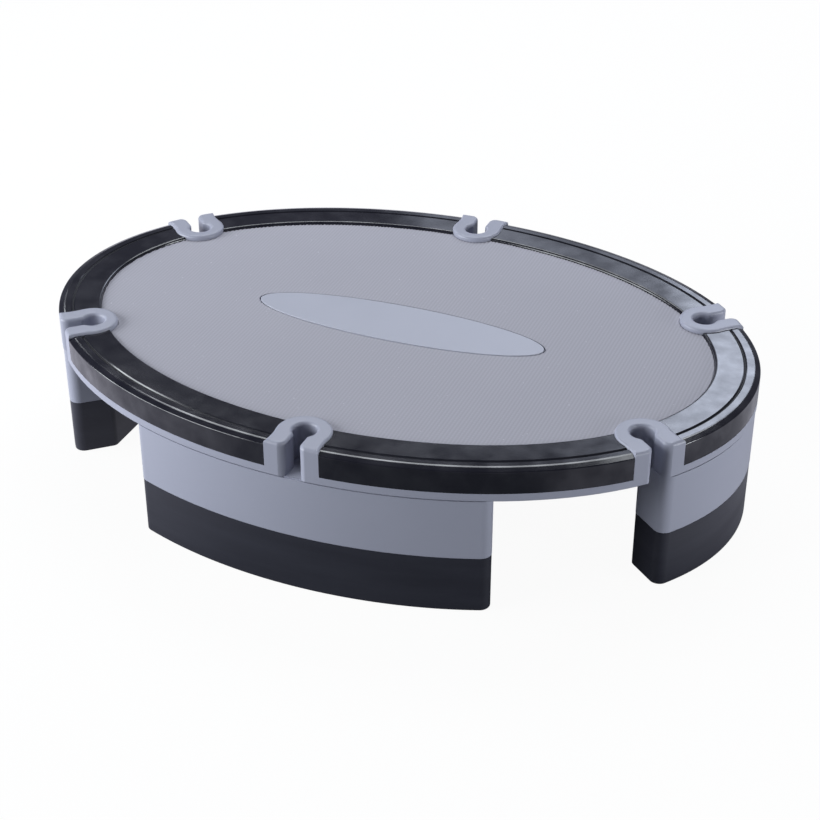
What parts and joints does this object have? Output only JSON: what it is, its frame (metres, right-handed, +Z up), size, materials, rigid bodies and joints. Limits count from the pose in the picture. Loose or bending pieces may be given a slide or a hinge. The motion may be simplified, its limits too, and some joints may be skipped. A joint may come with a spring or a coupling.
{
  "type": "aerobic step platform",
  "caption": "Oval aerobic step with a pipped mat, black rim strips, keyhole cleats for resistance tubes and hollow legs on pull-off risers that set the step height",
  "frame": {"origin": "on the floor under the middle of the oval", "axes": "+X along the oval's length, +Y across it towards the back, +Z up"},
  "size_m": [0.7, 0.4946, 0.1525],
  "materials": {
    "grey_plastic": "fine moulded satin",
    "mat_rubber": "fine raised pips, matt",
    "plate_plastic": "smooth satin, bare",
    "rim_plastic": "polished black",
    "riser_plastic": "moulded satin black",
    "pad_rubber": "matt black",
    "screw_steel": "zinc plated"
  },
  "bodies": {
    "platform": {"deck": "grey_plastic", "mat": "mat_rubber", "nameplate": "plate_plastic", "rim_back_right": "rim_plastic", "rim_back_left": "rim_plastic", "rim_left": "rim_plastic", "rim_front_left": "rim_plastic", "rim_front_right": "rim_plastic", "rim_right": "rim_plastic", "leg_front": "grey_plastic", "leg_back": "grey_plastic", "leg_left": "grey_plastic", "leg_right": "grey_plastic", "leg_screws": "screw_steel", "rim_screws": "screw_steel"},
    "riser_front": {"riser_front": "riser_plastic", "foot_pads_front": "pad_rubber"},
    "riser_back": {"riser_back": "riser_plastic", "foot_pads_back": "pad_rubber"},
    "riser_left": {"riser_left": "riser_plastic", "foot_pads_left": "pad_rubber"},
    "riser_right": {"riser_right": "riser_plastic", "foot_pads_right": "pad_rubber"}
  },
  "joints": [
    {"name": "riser_front_pull", "type": "slide", "parent": "platform", "child": "riser_front", "axis": [0, 0, -1], "range_m": [0, 0.03]},
    {"name": "riser_back_pull", "type": "slide", "parent": "platform", "child": "riser_back", "axis": [0, 0, -1], "range_m": [0, 0.03]},
    {"name": "riser_left_pull", "type": "slide", "parent": "platform", "child": "riser_left", "axis": [0, 0, -1], "range_m": [0, 0.03]},
    {"name": "riser_right_pull", "type": "slide", "parent": "platform", "child": "riser_right", "axis": [0, 0, -1], "range_m": [0, 0.03]}
  ]
}
